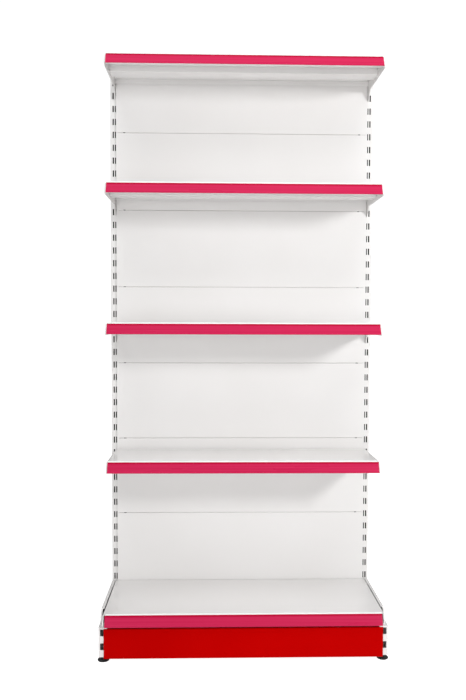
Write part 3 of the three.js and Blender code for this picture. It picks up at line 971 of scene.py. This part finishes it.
def make_bracket(node, tray):
    """A plate with two hooks behind, a toe under the tray's nose, and two ledges at its side."""
    low, high = extent(node)
    nose = Nose(tray)
    level = high.z
    sign = 1 if low.x > 0 else -1
    outer = max(abs(low.x), abs(high.x))
    inner = outer - PLATE
    front = nose.front + GAP
    outline = []
    for drop in BRACKET_HOOKS:
        outline += hook_points(level - drop, 0, UPRIGHT_WALL, **UPRIGHT_HOOK)
    outline.append((-GAP, level))
    outline += [(front - ahead, level - down) for ahead, down in BRACKET_TOE]
    outline += [(y, level - down) for y, down in BRACKET_HEEL]
    bm = bmesh.new()
    outline = rounded(outline, BRACKET_CORNER, 3)
    add_prism(bm, outline, *sorted((sign * inner, sign * outer)), along_x)
    ledge_top = level - SHEET - GAP
    ledge = [(sign * (inner - LEDGE_WIDTH), ledge_top), (sign * (inner + LEDGE_LAP), ledge_top)]
    for ends in ((nose.front + LEDGE_FRONT, RIB_SPLIT[0]), (RIB_SPLIT[1], LEDGE_REAR)):
        add_sheet(bm, ledge, -sign * LEDGE_THICKNESS, *ends, along_y)
    finish_piece(new_object(node + "_arm", bm), [node], WHITE, bevel=0.3)


def make_strip_holder(node, tray):
    """The white channel: a crown above the shelf's edge, a lip, and a back behind the strip."""
    low, high = extent(node)
    nose = Nose(tray)
    crown_back = GAP + (HOLDER_SHOULDER - HOLDER_CROWN) * math.tan(nose.lean)
    face = HOLDER_LIP + HOLDER_LIP_THICKNESS
    lip_top, lip_foot = HOLDER_LIP_SPAN
    outline = [
        (HOLDER_CROWN, crown_back),
        (HOLDER_SHOULDER, GAP),
        (HOLDER_FOOT, GAP),
        (HOLDER_FOOT, HOLDER_BACK),
        (lip_top, HOLDER_BACK),
        (lip_top, HOLDER_LIP),
        (lip_foot, HOLDER_LIP),
        (lip_foot, face),
        (HOLDER_CROWN, face),
    ]
    bm = bmesh.new()
    points = rounded([nose.at(*p) for p in outline], HOLDER_CORNER, 3)
    add_prism(bm, points, low.x, high.x, along_x)
    channel = new_object(node.replace("strip_holder", "price_channel"), bm)
    finish_piece(channel, [node], WHITE_PVC)


def strip_outline():
    """A strip's section, as (down, out) from the nose: a sunk line, a bow, and a folded foot."""
    near = HOLDER_BACK + GAP
    face = near + STRIP_THICKNESS
    line_face = near + STRIP_LINE_THICKNESS
    edge = face - STRIP_EDGE
    bow_top = STRIP_LINE + STRIP_RAMP
    steps = 14
    outline = [(STRIP_TOP, line_face), (STRIP_LINE, line_face), (bow_top, edge)]
    for i in range(1, steps):
        t = i / steps
        outline.append((bow_top + t * (STRIP_FOOT - bow_top), edge + STRIP_BOW * 4 * t * (1 - t)))
    foot = [
        (STRIP_FOOT, face),
        (STRIP_FOOT, GAP),
        (HOLDER_FOOT + GAP, GAP),
        (HOLDER_FOOT + GAP, near),
        (STRIP_TOP, near),
    ]
    before, corner, after = (Vector(p) for p in (outline[-1], foot[0], foot[1]))
    outline += rounded_corner(before, corner, after, STRIP_THICKNESS, 5)
    return outline + foot[1:]


def make_strip_insert(node, tray):
    low, high = extent(node)
    nose = Nose(tray)
    bm = bmesh.new()
    add_prism(bm, [nose.at(*p) for p in strip_outline()], low.x, high.x, along_x)
    strip = new_object(node.replace("strip_insert", "price_strip"), bm)
    finish_piece(strip, [node], CRIMSON)
    # the band above the sunk line gets the darker crimson, a painted shadow of the holder's lip
    strip.data.materials.append(SHADED_CRIMSON)
    face = HOLDER_BACK + GAP + STRIP_THICKNESS
    line_foot = to_frame(0, *nose.at(STRIP_LINE + 1.2 * STRIP_RAMP, face)).z
    for polygon in strip.data.polygons:
        if polygon.center.z > line_foot:
            polygon.material_index = 1


# ---- Levelling feet ---------------------------------------------------------------------------


def hex_radius(angle, flats):
    """The radius of a hexagon, that distance across its flats, at an angle."""
    sixth = math.pi / 3
    return flats / 2 / math.cos((angle + sixth / 2) % sixth - sixth / 2)


def add_nut(bm, x, y, low, high, sides=72):
    """A hexagon nut with both faces chamfered, outside and at the bore."""
    chamfer = NUT_FLATS / 2 * 0.98
    rings = []
    for end, away in ((low, 1), (high, -1)):
        flat_ring = []
        edge_ring = []
        for angle in round_angles(sides):
            reach = hex_radius(angle, NUT_FLATS)
            short = min(reach, chamfer)
            lift = (reach - short) * math.tan(math.radians(30)) + NUT_EDGE
            flat_ring.append(polar(x, y, end, short, angle))
            edge_ring.append(polar(x, y, end + away * lift, reach, angle))
        rings += [flat_ring, edge_ring] if away > 0 else [edge_ring, flat_ring]
    wide = NUT_BORE + NUT_BREAK
    rings += [circle(x, y, high, wide, sides), circle(x, y, high - NUT_BREAK, NUT_BORE, sides)]
    rings += [circle(x, y, low + NUT_BREAK, NUT_BORE, sides), circle(x, y, low, wide, sides)]
    add_rings(bm, rings)


def make_lock_nut(corner):
    node = f"{corner}_lock_nut"
    low, high = extent(node)
    centre = (low + high) / 2
    bm = bmesh.new()
    add_nut(bm, centre.x, centre.y, low.z, high.z)
    finish_piece(new_object(f"{corner}_jam_nut", bm), [node], ZINC)


def make_pad(corner):
    """A round foot with a rolled rim, a neck, a socket for the stud, and a hollow below."""
    node = f"{corner}_levelling_pad"
    low, high = extent(node)
    centre = (low + high) / 2
    radius = (high.x - low.x) / 2
    top = high.z
    outline = [
        (17.0, 0.0),
        (radius - 0.6, 0.6),
        (radius, 3.6),
        (radius - 2.6, 5.6),
        (10.0, top - 2.6),
        (8.0, top),
        (STUD_HOLE, top),
        (STUD_HOLE, PAD_SOCKET),
        (PAD_PINHOLE, PAD_SOCKET),
        (PAD_PINHOLE, PAD_DISH),
        (13.0, PAD_DISH),
        (14.0, 0.0),
    ]
    bm = bmesh.new()
    add_turned(bm, centre.x, centre.y, rounded(outline, PAD_CORNER, 4), sides=64)
    finish_piece(new_object(f"{corner}_floor_pad", bm), [node], BLACK)


def make_stud(corner):
    """A threaded rod, with the thread as a helix that fades out at both ends."""
    node = f"{corner}_levelling_stud"
    low, high = extent(node)
    centre = (low + high) / 2
    major = (high.x - low.x) / 2
    sides = 28
    rows_per_turn = 8
    fading_rows = 6
    rows = round((high.z - low.z) / THREAD_PITCH * rows_per_turn)
    rings = []
    for row in range(rows + 1):
        z = low.z + (high.z - low.z) * row / rows
        fade = min(1.0, row / fading_rows, (rows - row) / fading_rows)
        ring = []
        for angle in round_angles(sides):
            phase = (z / THREAD_PITCH - angle / (2 * math.pi)) % 1.0
            cut = min(1.0, 1.25 * abs(2 * phase - 1))  # a V with a flat at its root
            radius = major - THREAD_DEPTH * (cut * fade + (1 - fade))
            ring.append(polar(centre.x, centre.y, z, radius, angle))
        rings.append(ring)
    bm = bmesh.new()
    add_rings(bm, rings, closed=False)
    finish_piece(new_object(f"{corner}_threaded_stud", bm), [node], ZINC)


# ---- Build ------------------------------------------------------------------------------------

for side in ("left", "right"):
    make_upright(side)
    make_cap(side)
    make_base_plug(side)
    make_foot(side)
    for end in ("front", "rear"):
        make_pad(f"{end}_{side}")
        make_stud(f"{end}_{side}")
        make_lock_nut(f"{end}_{side}")

for number in range(1, PANEL_COUNT + 1):
    make_panel(number)

make_kick_plate()
make_base_shelf()
make_rib("base_shelf_rib")
make_strip_holder("base_strip_holder", "base_shelf")
make_strip_insert("base_strip_insert", "base_shelf")

for number in range(1, SHELF_COUNT + 1):
    shelf = f"shelf_{number}"
    make_tray(f"{shelf}_tray")
    make_rib(f"{shelf}_rib")
    make_strip_holder(f"{shelf}_strip_holder", f"{shelf}_tray")
    make_strip_insert(f"{shelf}_strip_insert", f"{shelf}_tray")
    for side in ("left", "right"):
        make_bracket(f"{shelf}_{side}_bracket", f"{shelf}_tray")


# ---- Stage, lights and camera, in metres ------------------------------------------------------

AMBIENT = 0.32
BACKDROP = 1.05
FLOOR_GLOW = 0.9
FLOOR_HALF = 30.0
CAMERA_PLACE = Vector((-0.1061, FACE_Y - 2.8990, 1.2200))
CAMERA_TURN = (0.025183, -0.043599, 0.003119)  # yaw, pitch and roll in radians
CAMERA_LENS = 37.52  # millimetres, on a sensor 36 wide
CAMERA_SENSOR = 36.0


def camera_switch(tree, elsewhere, seen):
    """A strength that differs between what the camera sees and what lights the pieces."""
    path = tree.nodes.new("ShaderNodeLightPath")
    strength = tree.nodes.new("ShaderNodeMapRange")
    strength.inputs["To Min"].default_value = elsewhere
    strength.inputs["To Max"].default_value = seen
    tree.links.new(path.outputs["Is Camera Ray"], strength.inputs["Value"])
    return strength.outputs["Result"]


def make_floor():
    bm = bmesh.new()
    bmesh.ops.create_grid(bm, x_segments=1, y_segments=1, size=FLOOR_HALF)
    floor = new_object("floor", bm)
    paint = Paint("floor_white", Roughness=0.8, Specular_IOR_Level=0.2)
    paint.shader.inputs["Emission Color"].default_value = (1, 1, 1, 1)
    paint.drive("Emission Strength", camera_switch(paint.tree, 0.0, FLOOR_GLOW))
    paint.drive("Base Color", paint.shades(paint.noise(0.6), (0.9, 0.9, 0.9), (0.93, 0.93, 0.93)))
    floor.data.materials.append(paint.material)


def make_world():
    """A white backdrop that lights the shelving less than it shows."""
    world = bpy.data.worlds.new("studio")
    world.use_nodes = True
    tree = world.node_tree
    background = tree.nodes["Background"]
    background.inputs["Color"].default_value = (1, 1, 1, 1)
    tree.links.new(camera_switch(tree, AMBIENT, BACKDROP), background.inputs["Strength"])
    bpy.context.scene.world = world


def make_area_light(name, place, target, size, power, mirrored):
    """A soft box of (width, height) that faces its target, seen in reflections if mirrored."""
    data = bpy.data.lights.new(name, "AREA")
    data.shape = "RECTANGLE"
    data.size, data.size_y = size
    data.energy = power
    light = bpy.data.objects.new(name, data)
    bpy.context.scene.collection.objects.link(light)
    light.location = place
    light.visible_glossy = mirrored
    light.rotation_euler = (Vector(target) - Vector(place)).to_track_quat("-Z", "Y").to_euler()


def make_lights():
    make_area_light(
        "key", place=(2.4, -2.65, 2.25), target=(0, 0, 1.4), size=(0.6, 0.6), power=60, mirrored=True,
    )
    make_area_light(
        "fill", place=(-0.8, -4.0, 0.9), target=(0, 0, 0.5), size=(2.5, 1.6), power=39, mirrored=False,
    )
    make_area_light(
        "top", place=(0, -1.6, 4.2), target=(0, 0, 1), size=(3.0, 2.0), power=52, mirrored=False,
    )


def make_camera():
    """The viewpoint: just left of centre, at chest height, looking a little down and right."""
    yaw, pitch, roll = CAMERA_TURN
    ahead = Vector((
        math.sin(yaw) * math.cos(pitch),
        math.cos(yaw) * math.cos(pitch),
        math.sin(pitch),
    ))
    level = Vector((math.cos(yaw), -math.sin(yaw), 0))
    above = level.cross(ahead)
    right = math.cos(roll) * level + math.sin(roll) * above
    up = right.cross(ahead)
    data = bpy.data.cameras.new("camera")
    data.sensor_width = CAMERA_SENSOR
    data.lens = CAMERA_LENS
    data.dof.use_dof = False
    camera = bpy.data.objects.new("camera", data)
    bpy.context.scene.collection.objects.link(camera)
    turn = Matrix((right, up, -ahead)).transposed().to_4x4()
    camera.matrix_world = Matrix.Translation(CAMERA_PLACE) @ turn
    bpy.context.scene.camera = camera


make_floor()
make_world()
make_lights()
make_camera()
bpy.context.scene.view_settings.view_transform = "Standard"
